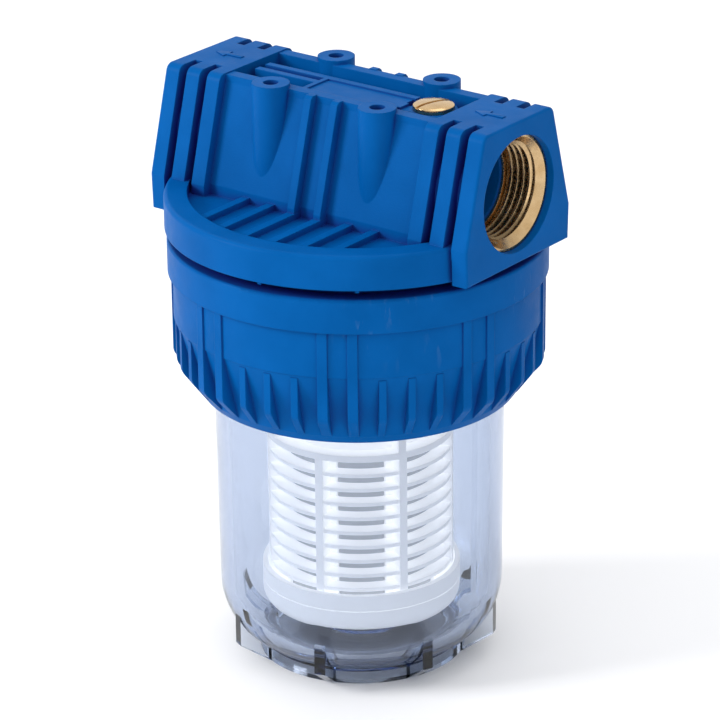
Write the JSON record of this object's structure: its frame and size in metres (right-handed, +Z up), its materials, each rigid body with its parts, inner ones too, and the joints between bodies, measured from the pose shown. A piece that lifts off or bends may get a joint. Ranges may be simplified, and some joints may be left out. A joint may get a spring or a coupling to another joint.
{
  "type": "garden pump filter",
  "caption": "Inline water filter for a garden pump: moulded head with threaded brass ports, ribbed union nut, clear bowl and a slotted cartridge inside.",
  "frame": {"origin": "bottom centre of the bowl's foot", "axes": "+Z up along the bowl and cartridge, +X out of the inlet port on the side of the vent screw"},
  "size_m": [0.1266, 0.125, 0.1971],
  "materials": {
    "blue_plastic": "satin moulded",
    "brass": "turned",
    "clear_plastic": "clear polished",
    "white_plastic": "satin moulded",
    "steel_mesh": "woven",
    "rubber": "matt"
  },
  "bodies": {
    "head": {"head": "blue_plastic", "inlet_insert": "brass", "outlet_insert": "brass"},
    "bowl": {"bowl": "clear_plastic", "bowl_seal": "rubber", "cartridge_base": "white_plastic", "cartridge_cage": "white_plastic", "mesh_sleeve": "steel_mesh", "cartridge_cap": "white_plastic", "top_gasket": "rubber", "base_gasket": "rubber"},
    "collar": {"collar": "blue_plastic"},
    "vent_seal": {"vent_seal": "rubber"},
    "vent_screw": {"vent_screw": "brass"}
  },
  "joints": [
    {"name": "bowl_drop", "type": "slide", "parent": "head", "child": "bowl", "axis": [0, 0, -1], "range_m": [0, 0.012]},
    {"name": "collar_turn", "type": "hinge", "parent": "bowl", "child": "collar", "pos_m": [0, 0, 0.12], "axis": [0, 0, -1], "range_deg": [0, 1080]},
    {"name": "vent_lift", "type": "slide", "parent": "head", "child": "vent_seal", "axis": [0, 0, 1], "range_m": [0, 0.002]},
    {"name": "vent_turn", "type": "hinge", "parent": "vent_seal", "child": "vent_screw", "pos_m": [0.0305, 0, 0.19], "axis": [0, 0, 1], "range_deg": [0, 720]}
  ],
  "couplings": [
    {"joint": "bowl_drop", "follows": "collar_turn", "m_per_rad": 0.00063661},
    {"joint": "vent_turn", "follows": "vent_lift", "rad_per_m": 6283.2}
  ]
}
